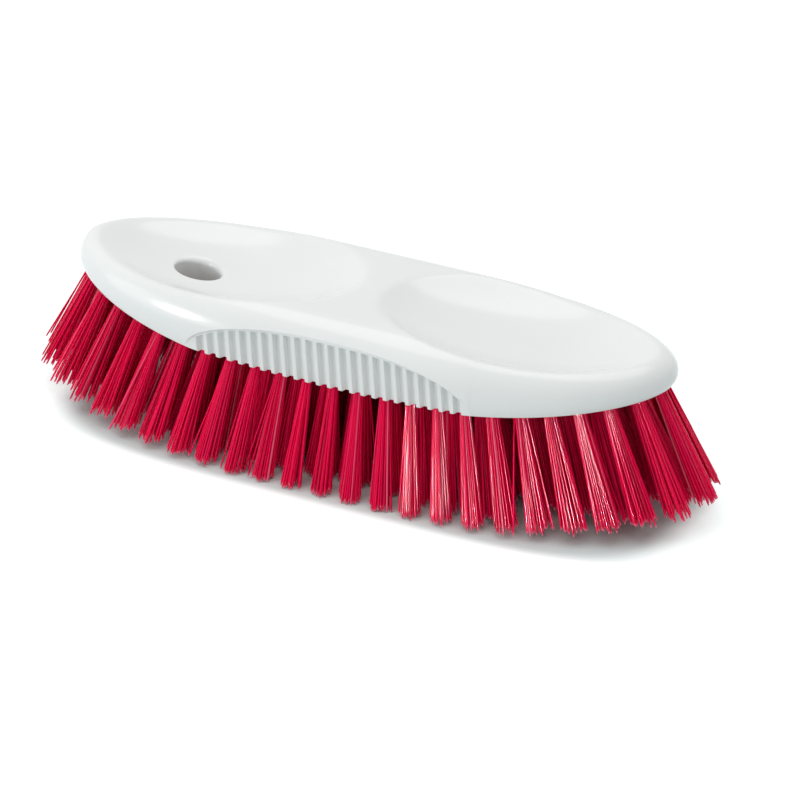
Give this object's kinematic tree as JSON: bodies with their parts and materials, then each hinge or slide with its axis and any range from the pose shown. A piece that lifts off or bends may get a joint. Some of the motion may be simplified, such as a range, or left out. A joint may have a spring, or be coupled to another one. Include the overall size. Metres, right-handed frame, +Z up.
{
  "type": "jug scrubbing brush",
  "caption": "Hand-held scrubbing brush: an oval plastic block with two thumb dishes, a hanging hole and ribbed sides, on a dense bed of outward-leaning filament tufts.",
  "frame": {"origin": "on the floor under the middle of the brush, which stands on the flat-cut tips of its middle tufts", "axes": "+X along the brush, away from the hanging hole; +Y across it; +Z up, from the tips of the tufts to the deck of the block"},
  "size_m": [0.2374, 0.0776, 0.0562],
  "materials": {
    "white_plastic": "glossy moulded plastic",
    "crimson_filament": "satin straight filament"
  },
  "bodies": {
    "root": {"block": "white_plastic", "ring_tuft_01": "crimson_filament", "ring_tuft_02": "crimson_filament", "ring_tuft_03": "crimson_filament", "ring_tuft_04": "crimson_filament", "ring_tuft_05": "crimson_filament", "ring_tuft_06": "crimson_filament", "ring_tuft_07": "crimson_filament", "ring_tuft_08": "crimson_filament", "ring_tuft_09": "crimson_filament", "ring_tuft_10": "crimson_filament", "ring_tuft_11": "crimson_filament", "ring_tuft_12": "crimson_filament", "ring_tuft_13": "crimson_filament", "ring_tuft_14": "crimson_filament", "ring_tuft_15": "crimson_filament", "ring_tuft_16": "crimson_filament", "ring_tuft_17": "crimson_filament", "ring_tuft_18": "crimson_filament", "ring_tuft_19": "crimson_filament", "ring_tuft_20": "crimson_filament", "ring_tuft_21": "crimson_filament", "ring_tuft_22": "crimson_filament", "ring_tuft_23": "crimson_filament", "ring_tuft_24": "crimson_filament", "ring_tuft_25": "crimson_filament", "ring_tuft_26": "crimson_filament", "ring_tuft_27": "crimson_filament", "ring_tuft_28": "crimson_filament", "ring_tuft_29": "crimson_filament", "ring_tuft_30": "crimson_filament", "ring_tuft_31": "crimson_filament", "ring_tuft_32": "crimson_filament", "ring_tuft_33": "crimson_filament", "ring_tuft_34": "crimson_filament", "ring_tuft_35": "crimson_filament", "ring_tuft_36": "crimson_filament", "ring_tuft_37": "crimson_filament", "ring_tuft_38": "crimson_filament", "ring_tuft_39": "crimson_filament", "ring_tuft_40": "crimson_filament", "ring_tuft_41": "crimson_filament", "ring_tuft_42": "crimson_filament", "ring_tuft_43": "crimson_filament", "ring_tuft_44": "crimson_filament", "ring_tuft_45": "crimson_filament", "ring_tuft_46": "crimson_filament", "ring_tuft_47": "crimson_filament", "ring_tuft_48": "crimson_filament", "inner_row_1": "crimson_filament", "inner_row_2": "crimson_filament", "inner_row_3": "crimson_filament", "inner_row_4": "crimson_filament", "inner_row_5": "crimson_filament", "inner_row_6": "crimson_filament"}
  },
  "joints": []
}
